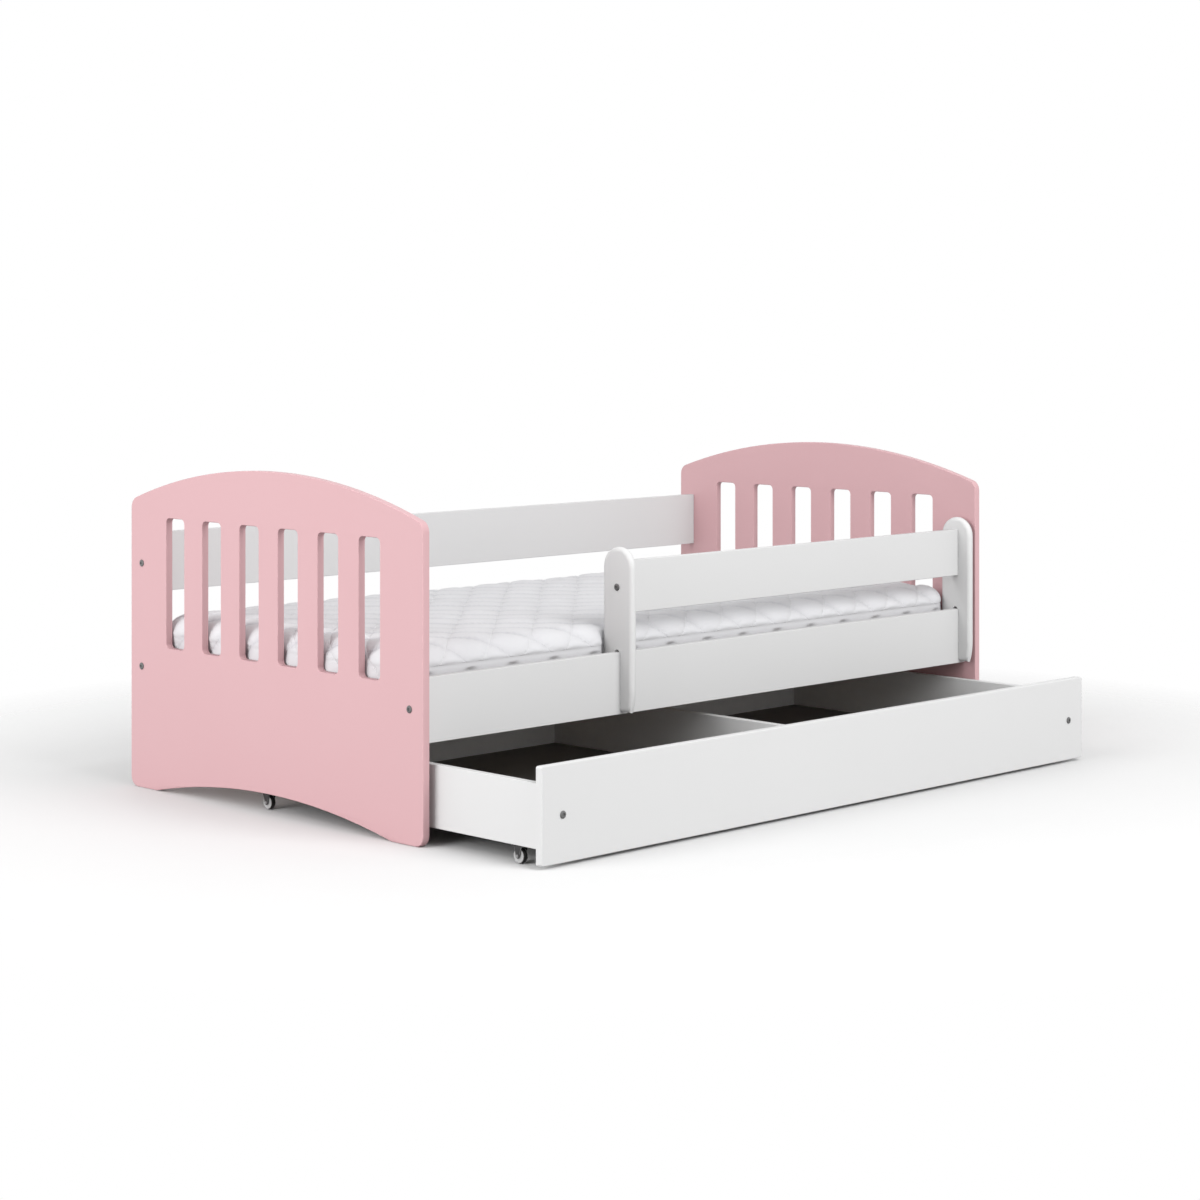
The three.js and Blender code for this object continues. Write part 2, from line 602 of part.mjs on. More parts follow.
function castorBracket() {
  const top = castorHeight - CASTOR_SHEET;
  const leg = new THREE.Shape();
  leg.moveTo(-CASTOR_LEG_TOP / 2, top + CASTOR_SHEET / 2);
  leg.lineTo(-CASTOR_LEG_TIP, axleZ);
  addArc(leg, 0, axleZ, CASTOR_LEG_TIP, Math.PI, 2 * Math.PI, 2 * CORNER_STEPS);
  leg.lineTo(CASTOR_LEG_TOP / 2, top + CASTOR_SHEET / 2);
  const halfPlate = CASTOR_PLATE_LENGTH / 2;
  let body = solid(block([-legOuter, -halfPlate, top], [legOuter, halfPlate, castorHeight]));
  for (const side of [-1, 1]) {
    const legPlate = plate(leg, CASTOR_SHEET, 'end', 0);
    body = body.add(solid(legPlate.translate((side * (legInner + legOuter)) / 2, 0, 0)));
  }
  const past = legOuter + CUT_PAST;
  const hole = rod([-past, 0, axleZ], [past, 0, axleZ], AXLE_RADIUS + WHEEL_BORE_PLAY);
  return geometryOf(body.subtract(solid(hole)));
}

function castorAxle() {
  const end = legOuter + TOUCH;
  const profile = [
    [0, -end - AXLE_HEAD],
    [AXLE_HEAD_RADIUS, -end - AXLE_HEAD],
    [AXLE_HEAD_RADIUS, -end],
    [AXLE_RADIUS, -end],
    [AXLE_RADIUS, end],
    [AXLE_HEAD_RADIUS, end],
    [AXLE_HEAD_RADIUS, end + AXLE_HEAD],
    [0, end + AXLE_HEAD],
  ];
  return turned(profile, ROUND_SIDES, [0, 0, axleZ], X);
}

function castorWheel() {
  const radius = WHEEL_DIAMETER / 2;
  const half = WHEEL_WIDTH / 2;
  const flat = half - WHEEL_SHOULDER;
  const bore = AXLE_RADIUS + WHEEL_BORE_PLAY;
  const shoulder = radius - WHEEL_SHOULDER * WHEEL_SHOULDER_DROP;
  const profile = [
    [bore, -half],
    [radius - WHEEL_SHOULDER, -half],
    [shoulder, -(half + flat) / 2],
    [radius, -flat],
    [radius, flat],
    [shoulder, (half + flat) / 2],
    [radius - WHEEL_SHOULDER, half],
    [bore, half],
    [bore, -half],
  ];
  const wheel = turned(profile, WHEEL_SIDES, [0, 0, 0], X);
  wheel.rotateX(Math.PI / WHEEL_SIDES);
  return wheel.translate(0, 0, axleZ);
}

function castors(group) {
  const x = drawerSideOuter - BOARD / 2;
  const frontY = drawerFaceY + FRONT_CASTOR_SETBACK;
  const rearY = boxBackY - REAR_CASTOR_SETBACK;
  const places = {
    front_foot: [-x, frontY],
    front_head: [x, frontY],
    rear_foot: [-x, rearY],
    rear_head: [x, rearY],
  };
  for (const [place, [px, py]] of Object.entries(places)) {
    const castor = new THREE.Group();
    castor.position.set(px, py, 0);
    piece(castor, `castor_bracket_${place}`, castorBracket(), darkSteel);
    piece(castor, `castor_axle_${place}`, castorAxle(), zincSteel);
    piece(castor, `castor_wheel_${place}`, castorWheel(), castorPlastic);
    group.add(castor);
  }
}

// ---- The bed, with its origin under the middle of the box around it ----

const bed = new THREE.Group();
frame(bed);
slattedBase(bed);
mattress(bed);
guard(bed);

const drawer = new THREE.Group();
drawerBox(drawer);
castors(drawer);
drawer.position.y = -DRAWER_OPEN;
bed.add(drawer);

const foremost = drawerFaceY - DRAWER_OPEN - boltHeadProud;
const rearmost = BED_WIDTH / 2;
bed.position.y = -(foremost + rearmost) / 2;

export default bed;
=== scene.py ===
import math

import bpy
import numpy as np
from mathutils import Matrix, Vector


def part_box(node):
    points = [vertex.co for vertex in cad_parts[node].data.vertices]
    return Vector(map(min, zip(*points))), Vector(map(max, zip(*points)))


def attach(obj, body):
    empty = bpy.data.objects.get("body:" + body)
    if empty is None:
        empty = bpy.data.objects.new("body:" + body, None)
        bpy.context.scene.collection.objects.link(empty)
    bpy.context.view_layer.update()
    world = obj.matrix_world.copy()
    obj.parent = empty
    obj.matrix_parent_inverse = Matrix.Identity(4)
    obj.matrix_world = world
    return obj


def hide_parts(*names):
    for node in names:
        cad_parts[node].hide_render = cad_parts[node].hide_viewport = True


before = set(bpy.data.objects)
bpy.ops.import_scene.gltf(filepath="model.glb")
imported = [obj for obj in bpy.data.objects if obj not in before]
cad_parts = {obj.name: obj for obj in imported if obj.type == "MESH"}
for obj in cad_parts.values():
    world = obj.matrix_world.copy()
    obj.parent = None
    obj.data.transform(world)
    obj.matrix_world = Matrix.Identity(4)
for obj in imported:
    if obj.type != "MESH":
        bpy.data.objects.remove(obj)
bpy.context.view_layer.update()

# ---- Sizes, in metres ----

CAMERA_PLACE = (-3.9158, -3.86165, 0.954)
CAMERA_TURN = 44.887  # degrees from +Y towards +X
CAMERA_LENS = 78.94
CAMERA_DROP = -0.2375  # keeps the boards' upright edges parallel

SKY_STRENGTH = 0.41
LIGHT_BOUNCES = 0
FLOOR_CLEAR_TO = 0.95  # the floor is whole as far as this, then fades into the backdrop
FLOOR_GONE_AT = 1.9
BACKDROP_RADIUS = 40
BACKDROP_RINGS = 24
BACKDROP_SIDES = 48
BACKDROP_POLE = 0.02
FLOOR_GAP = 0.0004

WELD_DISTANCE = 0.00001
SMOOTH_UP_TO = 50  # degrees between faces that shade as one
TURNED_SMOOTH_UP_TO = 35  # the same on turned pieces

QUILT_PITCH = 0.076  # side of one square of the quilting
QUILT_PHASE_A = -0.039
QUILT_PHASE_B = 0.050
SEAM_WANDER = 0.0016
SEAM_WANDER_REACH = 0.16
STITCH_PITCH = 0.0042
MATTRESS_STEP = 0.0045
MATTRESS_SHOULDER = 0.052  # width of the rounded edge, seen from above
MATTRESS_SIDE_ROWS = 26
LIP_RUN = 0.071  # where the quilted top is sewn to the side band
END_QUILT_RUN = 0.112  # at the ends the quilting goes on almost to the floor of the mattress
LIP_FADE = 0.010  # the quilting dies out over this run
LIP_EDGE = 0.002  # and its stitches over this one
SHADE_RUN = 0.03  # the seams' shade weakens over this run, where the edge starts to slope
PUFF_HEIGHT = 0.0062
PUFF_VARIATION = 0.16
PUFF_SINK = 0.0030  # the seams pull the cover in by this much
CREASE_SPACING = 0.011
CREASE_WANDER = 4  # radians
CREASE_HEIGHT = 0.0005
CREASE_REACH = 0.006  # where a crease is highest, from its seam
DRAPE_HEIGHT = 0.0012
SCALLOP_PITCH = 0.1075  # the quilting's corners along an edge
SCALLOP_PHASE = 0.0
SCALLOP_DEPTH = 0.006
SCALLOP_WIDTH = 0.012
SCALLOP_RUN = 0.087  # where a scallop is full, just above the front rail
SCALLOP_FADE = 0.007
BAND_PLAIN_FROM = 0.097  # below this run the band gets plainer, and is smooth where it lies on the slats
BAND_SMOOTH_FROM = 0.117
BAND_SINK = 0.0008
POST_ROOM = 0.004  # between the cover and a guard post
POST_DENT_REACH = 0.014
POST_DENT_DEPTH = 0.06  # more than the cover ever has to give way

BOLT_SIDES = 48
BOLT_HEAD_RADIUS = 0.007
BOLT_HEAD_HEIGHT = 0.0022
BOLT_SHANK_RADIUS = 0.003
BOLT_TIP_BEVEL = 0.0006
SOCKET_RADIUS = 0.0028
WHEEL_SIDES = 72
AXLE_HEIGHT = 0.0135
LEG_TOP = 0.020  # width of a castor bracket's leg at its plate
LEG_TIP = 0.0045  # radius of its rounded tip
LEG_TOP_DROP = 0.0018  # the bead starts this far below the bracket's plate
BEAD_RADIUS = 0.0007
BEAD_SIDES = 10
TIP_STEPS = 13


# ---- Shader writing ----

class Wire:
    """One output of a shader node, which takes part in sums."""

    def __init__(self, finish, socket):
        self.finish = finish
        self.socket = socket

    def __getitem__(self, name):
        return Wire(self.finish, pick(self.socket.node.outputs, name))

    def maths(self, operation, first, second):
        return self.finish.add("ShaderNodeMath", {"operation": operation}, {0: first, 1: second})

    def __add__(self, other):
        return self.maths("ADD", self, other)

    def __radd__(self, other):
        return self.maths("ADD", other, self)

    def __sub__(self, other):
        return self.maths("SUBTRACT", self, other)

    def __rsub__(self, other):
        return self.maths("SUBTRACT", other, self)

    def __mul__(self, other):
        return self.maths("MULTIPLY", self, other)

    def __rmul__(self, other):
        return self.maths("MULTIPLY", other, self)

    def __truediv__(self, other):
        return self.maths("DIVIDE", self, other)

    def __rtruediv__(self, other):
        return self.maths("DIVIDE", other, self)


def pick(sockets, key):
    if isinstance(key, int):
        return sockets[key]
    return next(s for s in sockets if s.enabled and key in (s.name, s.identifier))


class Finish:
    """A material for one of the bed's surfaces."""

    def __init__(self, name):
        self.material = bpy.data.materials.new(name)
        self.material.use_nodes = True
        self.tree = self.material.node_tree
        self.tree.nodes.clear()
        self.place = self.add("ShaderNodeTexCoord", {}, {})["Object"]

    def add(self, kind, settings, values):
        node = self.tree.nodes.new(kind)
        for key, value in settings.items():
            if key == "stops":
                set_stops(node.color_ramp, value)
            else:
                setattr(node, key, value)
        for key, value in values.items():
            socket = pick(node.inputs, key)
            if isinstance(value, Wire):
                self.tree.links.new(value.socket, socket)
            else:
                socket.default_value = value
        return Wire(self, next((s for s in node.outputs if s.enabled), None))

    def surface(self, values):
        shader = self.add("ShaderNodeBsdfPrincipled", {}, values)
        self.add("ShaderNodeOutputMaterial", {}, {"Surface": shader})
        return self.material

    def stretched(self, scales):
        return self.add("ShaderNodeVectorMath", {"operation": "MULTIPLY"}, {0: self.place, 1: scales})

    def noise(self, scale, detail=2.0, along=(1, 1, 1), distortion=0.0):
        spot = self.stretched(tuple(scale * k for k in along))
        values = {"Vector": spot, "Scale": 1.0, "Detail": detail, "Distortion": distortion}
        return self.add("ShaderNodeTexNoise", {}, values)

    def ramp(self, factor, stops):
        return self.add("ShaderNodeValToRGB", {"stops": stops}, {"Fac": factor})

    def mix(self, factor, first, second):
        values = {"Factor": factor, "A_Color": first, "B_Color": second}
        return self.add("ShaderNodeMix", {"data_type": "RGBA"}, values)

    def clamped(self, value):
        return self.add("ShaderNodeClamp", {}, {"Value": value})

    def sine(self, value):
        return self.add("ShaderNodeMath", {"operation": "SINE"}, {0: value})

    def bump(self, height, distance, under=None):
        values = {"Height": height, "Distance": distance, "Strength": 1.0}
        if under:
            values["Normal"] = under
        return self.add("ShaderNodeBump", {}, values)


def set_stops(ramp, stops):
    while len(ramp.elements) < len(stops):
        ramp.elements.new(0.5)
    for element, (position, colour) in zip(ramp.elements, stops):
        element.position = position
        element.color = colour


def tint(red, green, blue):
    return (red, green, blue, 1.0)


def grey(value):
    return tint(value, value, value)


# ---- Finishes ----

def satin_lacquer(name, light, deep, roughness):
    """Sprayed lacquer: a faint cloudiness and the fine ripple of a sprayed coat."""
    finish = Finish(name)
    cloud = finish.noise(4.0, 3.0)
    fine = finish.noise(260.0, 2.0)
    ripple = finish.noise(620.0, 1.0)
    colour = finish.mix(cloud * 0.75 + fine * 0.25, light, deep)
    return finish.surface({
        "Base Color": colour,
        "Roughness": roughness - 0.05 + fine * 0.1,
        "Normal": finish.bump(ripple, 0.00003, finish.bump(cloud, 0.0002)),
        "Specular IOR Level": 0.4,
    })


def hardboard():
    """Pressed fibre board with one painted face, coloured dark grey here as painted shade: the drawer's
    floor lies in shade under the bed.
    """
    finish = Finish("hardboard_painted_shade")
    fibres = finish.noise(420.0, 4.0, (1, 0.5, 1), 1.5)
    patches = finish.noise(9.0, 2.0)
    # these dark greys are painted shade for the drawer's floor, not the board's own colour
    colour = finish.mix(fibres * 0.6 + patches * 0.4, tint(0.13, 0.125, 0.12), tint(0.2, 0.19, 0.18))
    return finish.surface({
        "Base Color": colour,
        "Roughness": 0.5 + fibres * 0.15,
        "Normal": finish.bump(fibres, 0.00012),
        "Specular IOR Level": 0.3,
    })


def bare_wood(name, along):
    """Planed pine: growth bands and fine pores drawn out along the grain."""
    finish = Finish(name)
    bands = finish.noise(34.0, 2.0, along, 0.6)
    lines = finish.sine(bands * 46.0) * 0.5 + 0.5
    pores = finish.noise(900.0, 2.0, along)
    flecks = finish.noise(2.2, 1.0)
    stops = [(0.0, tint(0.78, 0.6, 0.38)), (0.55, tint(0.72, 0.52, 0.3)), (1.0, tint(0.56, 0.36, 0.18))]
    colour = finish.ramp(lines * 0.55 + pores * 0.3 + flecks * 0.15, stops)
    return finish.surface({
        "Base Color": colour,
        "Roughness": 0.55 + pores * 0.2,
        "Normal": finish.bump(pores * 0.6 + lines * 0.4, 0.00015),
        "Specular IOR Level": 0.3,
    })


def worked_steel(name, dark, light, roughness, along):
    """Plated steel: streaks from working and small dull patches in the plating."""
    finish = Finish(name)
    streaks = finish.noise(1500.0, 2.0, along)
    patches = finish.noise(160.0, 3.0)
    return finish.surface({
        "Base Color": finish.mix(patches, dark, light),
        "Metallic": 1.0,
        "Roughness": roughness + (streaks * 0.12 + patches * 0.12),
        "Normal": finish.bump(streaks, 0.00001),
    })


def tyre_rubber():
    finish = Finish("tyre_rubber")
    grain = finish.noise(2600.0, 2.0)
    scuffs = finish.noise(240.0, 3.0)
    return finish.surface({
        "Base Color": finish.mix(scuffs, grey(0.012), grey(0.03)),
        "Roughness": 0.5 + scuffs * 0.2,
        "Normal": finish.bump(grain, 0.00004),
    })


def moulded_disc():
    """Light grey plastic of the wheels' discs."""
    finish = Finish("moulded_disc")
    grain = finish.noise(1800.0, 2.0)
    flow = finish.noise(90.0, 2.0)
    return finish.surface({
        "Base Color": finish.mix(flow, grey(0.5), grey(0.58)),
        "Roughness": 0.36 + flow * 0.14,
        "Normal": finish.bump(grain, 0.00002),
    })


def webbing():
    """Woven tape: a fine rib across and along."""
    finish = Finish("slat_webbing")
    parts = finish.add("ShaderNodeSeparateXYZ", {}, {"Vector": finish.place})
    across = finish.sine(parts["X"] * 4200.0)
    along = finish.sine(parts["Y"] * 3100.0)
    weave = across * along * 0.5 + 0.5
    return finish.surface({
        "Base Color": finish.mix(weave, tint(0.5, 0.5, 0.52), tint(0.68, 0.68, 0.7)),
        "Roughness": 0.75 + weave * 0.15,
        "Normal": finish.bump(weave, 0.00025),
    })


def quilted_cover():
    """Brushed white cover: close weave, stitched seams and the small puckers beside them.

    One family of seams gets painted shade in the cover's colour, most of all on the level top, and the
    other is nearly plain.
    """
    finish = Finish("quilted_cover")
    quilt = finish.add("ShaderNodeAttribute", {"attribute_name": "quilt"}, {})["Vector"]
    parts = finish.add("ShaderNodeSeparateXYZ", {}, {"Vector": quilt})
    turn = 2 * math.pi

    def seam(across, along):
        """The seam's line, the stitches along it and the wider band round it, each from 0 to 1; the band's
        mask also carries painted shade.
        """
        cosine = finish.add("ShaderNodeMath", {"operation": "COSINE"}, {0: across * turn})
        wave = cosine * 0.5 + 0.5
        line = finish.add("ShaderNodeMath", {"operation": "POWER"}, {0: wave, 1: 260.0})
        near = finish.add("ShaderNodeMath", {"operation": "POWER"}, {0: wave, 1: 8.0})
        stitch = finish.sine(along * (turn * QUILT_PITCH / STITCH_PITCH)) * 0.5 + 0.5
        return line, stitch, near

    a_line, a_stitch, a_near = seam(parts["X"], parts["Y"])
    b_line, b_stitch, b_near = seam(parts["Y"], parts["X"])
    above_lip = finish.clamped(parts["Z"] / -LIP_EDGE)
    line = finish.clamped(a_line + b_line) * above_lip
    near = finish.clamped(a_near + b_near) * above_lip
    thread = finish.clamped(a_line * a_stitch + b_line * b_stitch) * above_lip
    puckers = finish.noise(150.0, 2.0, (1, 1, 1), 0.4)
    weave = finish.noise(1700.0, 2.0)
    # painted shade: slow noise that darkens the cover in broad patches, standing in for the shading of its
    # drape
    drape_shade = finish.noise(16.0, 2.0)
    # the painted seam shade is full on the level top and falls to a quarter where the edge slopes
    level = 1 - finish.clamped((parts["Z"] + LIP_RUN) / SHADE_RUN) * 0.75
    # painted shade beside the seams of one family, faint beside the other, and taken back along that other
    # family's lines so they read lighter
    painted_seam_shade = a_near * (0.5 + puckers * 0.4) * level + b_near * 0.05 - b_line * 0.2
    shade = finish.clamped(drape_shade * 0.25 + painted_seam_shade * above_lip)
    # the greyer tint is the cover's white in painted shade
    colour = finish.mix(shade, tint(0.87, 0.87, 0.89), tint(0.66, 0.66, 0.70))
    folds = finish.bump(near * puckers, 0.0018)
    seams = finish.bump(thread * 0.7 - line, 0.0007, folds)
    return finish.surface({
        "Base Color": colour,
        "Roughness": 0.82 + weave * 0.1,
        "Normal": finish.bump(weave, 0.00012, seams),
        "Sheen Weight": 0.25,
        "Sheen Roughness": 0.5,
        "Specular IOR Level": 0.25,
    })


PINK_LIGHT = tint(0.79, 0.5, 0.525)
PINK_DEEP = tint(0.77, 0.47, 0.495)
WHITE_LIGHT = grey(0.86)
WHITE_DEEP = grey(0.83)

finishes = {
    "pink_paint": satin_lacquer("pink_lacquer", PINK_LIGHT, PINK_DEEP, 0.4),
    "white_board": satin_lacquer("white_laminate", WHITE_LIGHT, WHITE_DEEP, 0.45),
    # the drawer floor's slot: its dark grey is painted shade
    "dark_hardboard": hardboard(),
    "bare_wood": bare_wood("pine_across_bed", (1.0, 0.05, 1.0)),
    "strap_webbing": webbing(),
    "bolt_steel": worked_steel("dark_bolt_steel", grey(0.2), grey(0.3), 0.34, (1, 1, 1)),
    "zinc_steel": worked_steel("bright_zinc", grey(0.55), grey(0.66), 0.25, (1, 0.05, 1)),
    "castor_steel": worked_steel("castor_steel", grey(0.09), grey(0.16), 0.32, (1, 1, 0.1)),
    "castor_tyre": tyre_rubber(),
    "mattress_cover": quilted_cover(),
}
pine_along_bed = bare_wood("pine_along_bed", (0.05, 1.0, 1.0))
disc_plastic = moulded_disc()


# ---- CAD nodes: finish, and edges that shade as rounded ----

def dress(node):
    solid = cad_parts[node]
    for holder in solid.material_slots:
        chosen = finishes[holder.material.name]
        holder.material = pine_along_bed if node.endswith("ledger") else chosen
    solid.data.polygons.foreach_set("use_smooth", [True] * len(solid.data.polygons))
    weld = solid.modifiers.new("weld", "WELD")
    weld.merge_threshold = WELD_DISTANCE
    split = solid.modifiers.new("arrises", "EDGE_SPLIT")
    split.split_angle = math.radians(SMOOTH_UP_TO)
    solid.modifiers.new("even_faces", "WEIGHTED_NORMAL")


# ---- Pieces made of rings ----

def mesh_piece(name, points, faces, material, flat=()):
    mesh = bpy.data.meshes.new(name)
    mesh.from_pydata([tuple(p) for p in points], [], faces)
    mesh.polygons.foreach_set("use_smooth", [i not in flat for i in range(len(faces))])
    mesh.materials.append(material)
    mesh.update()
    piece = bpy.data.objects.new(name, mesh)
    bpy.context.scene.collection.objects.link(piece)
    return piece


def turned_piece(name, rings, sides, centre, axis, material, closed_loop=False):
    """Rings of (distance along the axis, radius, share of hexagon), from which a skin is made.

    Open ends are capped. A closed loop joins its last ring to its first.
    """
    axis = Vector(axis).normalized()
    across = axis.orthogonal().normalized()
    if abs(axis.z) < 0.5:
        across = Vector((0, 0, 1))
    third = axis.cross(across)
    points = []
    for distance, radius, hexagon in rings:
        for k in range(sides):
            angle = 2 * math.pi * k / sides
            to_flat = (angle + math.pi / 6) % (math.pi / 3) - math.pi / 6
            r = radius * (1 - hexagon + hexagon * math.cos(math.pi / 6) / math.cos(to_flat))
            spoke = across * math.cos(angle) + third * math.sin(angle)
            points.append(Vector(centre) + axis * distance + spoke * r)
    faces = []
    count = len(rings)
    for i in range(count if closed_loop else count - 1):
        low, high = i * sides, ((i + 1) % count) * sides
        for k in range(sides):
            n = (k + 1) % sides
            faces.append((low + k, low + n, high + n, high + k))
    if not closed_loop:
        faces.append(tuple(reversed(range(sides))))
        faces.append(tuple(range((count - 1) * sides, count * sides)))
    piece = mesh_piece(name, points, faces, material)
    split = piece.modifiers.new("arrises", "EDGE_SPLIT")
    split.split_angle = math.radians(TURNED_SMOOTH_UP_TO)
    return piece


def middle(node):
    low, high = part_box(node)
    return (low + high) / 2


def bolt(node, body, outward):
    """Low domed head with a hexagon socket, on a plain shank. The head faces outward.

    Its rings run from the tip of the shank to the floor of the socket.
    """
    low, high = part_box(node)
    centre = middle(node)
    outward = Vector(outward)
    half = abs((high - low).dot(outward)) / 2
    top = half
    seat = top - BOLT_HEAD_HEIGHT
    rings = [
        (-half, BOLT_SHANK_RADIUS - BOLT_TIP_BEVEL, 0),
        (-half + BOLT_TIP_BEVEL, BOLT_SHANK_RADIUS, 0),
        (seat, BOLT_SHANK_RADIUS, 0),
        (seat, BOLT_HEAD_RADIUS - 0.0002, 0),
        (seat + 0.0002, BOLT_HEAD_RADIUS, 0),
        (seat + 0.0006, BOLT_HEAD_RADIUS, 0),
        (seat + 0.0011, BOLT_HEAD_RADIUS - 0.0003, 0),
        (seat + 0.0016, BOLT_HEAD_RADIUS - 0.001, 0),
        (seat + 0.0020, BOLT_HEAD_RADIUS - 0.002, 0),
        (top, BOLT_HEAD_RADIUS - 0.0032, 0),
        (top, SOCKET_RADIUS + 0.0003, 0),
        (top - 0.0002, SOCKET_RADIUS, 1),
        (top - 0.0015, SOCKET_RADIUS, 1),
        (top - 0.0018, 0.0016, 0),
        (top - 0.0019, 0.0003, 0),
    ]
    piece = turned_piece(node + "_turned", rings, BOLT_SIDES, centre, outward, finishes["bolt_steel"])
    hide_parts(node)
    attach(piece, body)


def wheel(place):
    """Black tread between two light discs that reach almost to its edge.

    Each set of rings is a closed loop round the section: the tread from side to side, and half a disc
    from the tyre inwards to the axle, which is then mirrored.
    """
    node = "castor_wheel_" + place
    low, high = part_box(node)
    radius = (high.z - low.z) / 2
    half = (high.x - low.x) / 2
    tread = half - 0.0013
    tyre_rings = [
        (-tread, radius - 0.0035, 0),
        (-tread, radius - 0.0012, 0),
        (-tread + 0.0004, radius - 0.0006, 0),
        (-tread + 0.0012, radius - 0.00012, 0),
        (-tread + 0.0022, radius, 0),
        (tread - 0.0022, radius, 0),
        (tread - 0.0012, radius - 0.00012, 0),
        (tread - 0.0004, radius - 0.0006, 0),
        (tread, radius - 0.0012, 0),
        (tread, radius - 0.0035, 0),
    ]
    disc_rings = [
        (-tread + 0.0002, radius - 0.0036, 0),
        (-tread - 0.0001, radius - 0.0036, 0),
        (-tread - 0.0001, radius - 0.0012, 0),
        (-tread - 0.0004, radius - 0.0009, 0),
        (-tread - 0.0009, radius - 0.0010, 0),
        (-half, radius - 0.0017, 0),
        (-half, radius - 0.0030, 0),
        (-half + 0.0005, radius - 0.0038, 0),
        (-half + 0.0005, 0.0046, 0),
        (-half, 0.0041, 0),
        (-half, 0.0019, 0),
    ]
    disc_rings = [(-x, r, h) for x, r, h in disc_rings] + disc_rings[::-1]
    centre = middle(node)
    body = "wheel_" + place
    across = (1, 0, 0)
    rubber = finishes["castor_tyre"]
    tyre = turned_piece("tyre_" + place, tyre_rings, WHEEL_SIDES, centre, across, rubber, True)
    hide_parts(node)
    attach(tyre, body)
    disc = turned_piece("wheel_disc_" + place, disc_rings, WHEEL_SIDES, centre, across, disc_plastic, True)
    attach(disc, body)


def rolled_edge_painted_highlight(place, side):
    """Bead pressed along the edge of one leg of a castor's bracket, in lighter steel than the bracket as a
    painted highlight along its edge.
    """
    low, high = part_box("castor_bracket_" + place)
    centre = (low + high) / 2
    x = (high.x - BEAD_RADIUS / 4) if side > 0 else (low.x + BEAD_RADIUS / 4)
    tip = LEG_TIP - BEAD_RADIUS
    path = [(-LEG_TOP / 2 + BEAD_RADIUS, high.z - LEG_TOP_DROP)]
    for angle in np.linspace(math.pi, 2 * math.pi, TIP_STEPS):
        path.append((tip * math.cos(angle), AXLE_HEIGHT + tip * math.sin(angle)))
    path.append((LEG_TOP / 2 - BEAD_RADIUS, high.z - LEG_TOP_DROP))
    path = np.array(path) + (centre.y, 0)
    heading = np.gradient(path, axis=0)
    heading /= np.linalg.norm(heading, axis=1)[:, None]
    points = []
    for (y, z), (along_y, along_z) in zip(path, heading):
        for k in range(BEAD_SIDES):
            angle = 2 * math.pi * k / BEAD_SIDES
            out, across = BEAD_RADIUS * math.cos(angle), BEAD_RADIUS * math.sin(angle)
            points.append((x + out, y - along_z * across, z + along_y * across))
    faces = []
    for start in range(0, (len(path) - 1) * BEAD_SIDES, BEAD_SIDES):
        for k in range(BEAD_SIDES):
            n = (k + 1) % BEAD_SIDES
            faces.append((start + n, start + k, start + BEAD_SIDES + k, start + BEAD_SIDES + n))
    faces.append(tuple(range(BEAD_SIDES)))
    faces.append(tuple(reversed(range(len(points) - BEAD_SIDES, len(points)))))
    name = "rolled_edge_%s_%s" % (place, "in" if side * centre.x < 0 else "out")
    # lighter bolt steel on the darker castor steel: a painted highlight along the rolled edge
    bead = mesh_piece(name, points, faces, finishes["bolt_steel"])
    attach(bead, "drawer")


# ---- Mattress ----

def smooth_step(low, high, x):
    """0 up to low, 1 from high on, and an even curve between them."""
    t = np.clip((x - low) / (high - low), 0, 1)
    return t * t * (3 - 2 * t)


def box_grid(counts):
    """Grid points and quads over the top and sides of a box, closed by one face below."""
    nx, ny, nz = counts
    index = {}
    points = []
    faces = []

    def point(i, j, k):
        if (i, j, k) not in index:
            index[(i, j, k)] = len(points)
            points.append((i, j, k))
        return index[(i, j, k)]

    def quad(*corners):
        faces.append(tuple(point(*corner) for corner in corners))

    for i in range(nx):
        for j in range(ny):
            quad((i, j, nz), (i + 1, j, nz), (i + 1, j + 1, nz), (i, j + 1, nz))
    for k in range(nz):
        for i in range(nx):
            quad((i, 0, k), (i + 1, 0, k), (i + 1, 0, k + 1), (i, 0, k + 1))
            quad((i, ny, k + 1), (i + 1, ny, k + 1), (i + 1, ny, k), (i, ny, k))
        for j in range(ny):
            quad((0, j, k + 1), (0, j + 1, k + 1), (0, j + 1, k), (0, j, k))
            quad((nx, j, k), (nx, j + 1, k), (nx, j + 1, k + 1), (nx, j, k + 1))
    rim = [point(i, 0, 0) for i in range(nx)] + [point(nx, j, 0) for j in range(ny)]
    rim += [point(i, ny, 0) for i in range(nx, 0, -1)] + [point(0, j, 0) for j in range(ny, 0, -1)]
    faces.append(tuple(reversed(rim)))
    return np.array(points, float), faces


# Edge of the mattress from the flat top outwards and down: run of the cover, distance out, drop.
EDGE_PROFILE = np.array([
    (0.000, 0.0000, 0.0000),
    (0.012, 0.0118, 0.0010),
    (0.024, 0.0232, 0.0042),
    (0.035, 0.0333, 0.0094),
    (0.045, 0.0413, 0.0162),
    (0.053, 0.0468, 0.0228),
    (0.060, 0.0503, 0.0290),
    (0.065, 0.0519, 0.0338),
    (0.068, 0.0520, 0.0366),
    (0.071, 0.0511, 0.0392),
    (0.074, 0.0508, 0.0418),
    (0.078, 0.0510, 0.0455),
    (0.086, 0.0508, 0.0530),
    (0.098, 0.0506, 0.0650),
    (0.108, 0.0492, 0.0748),
    (0.115, 0.0462, 0.0812),
    (0.121, 0.0408, 0.0846),
    (0.126, 0.0360, 0.0860),
])


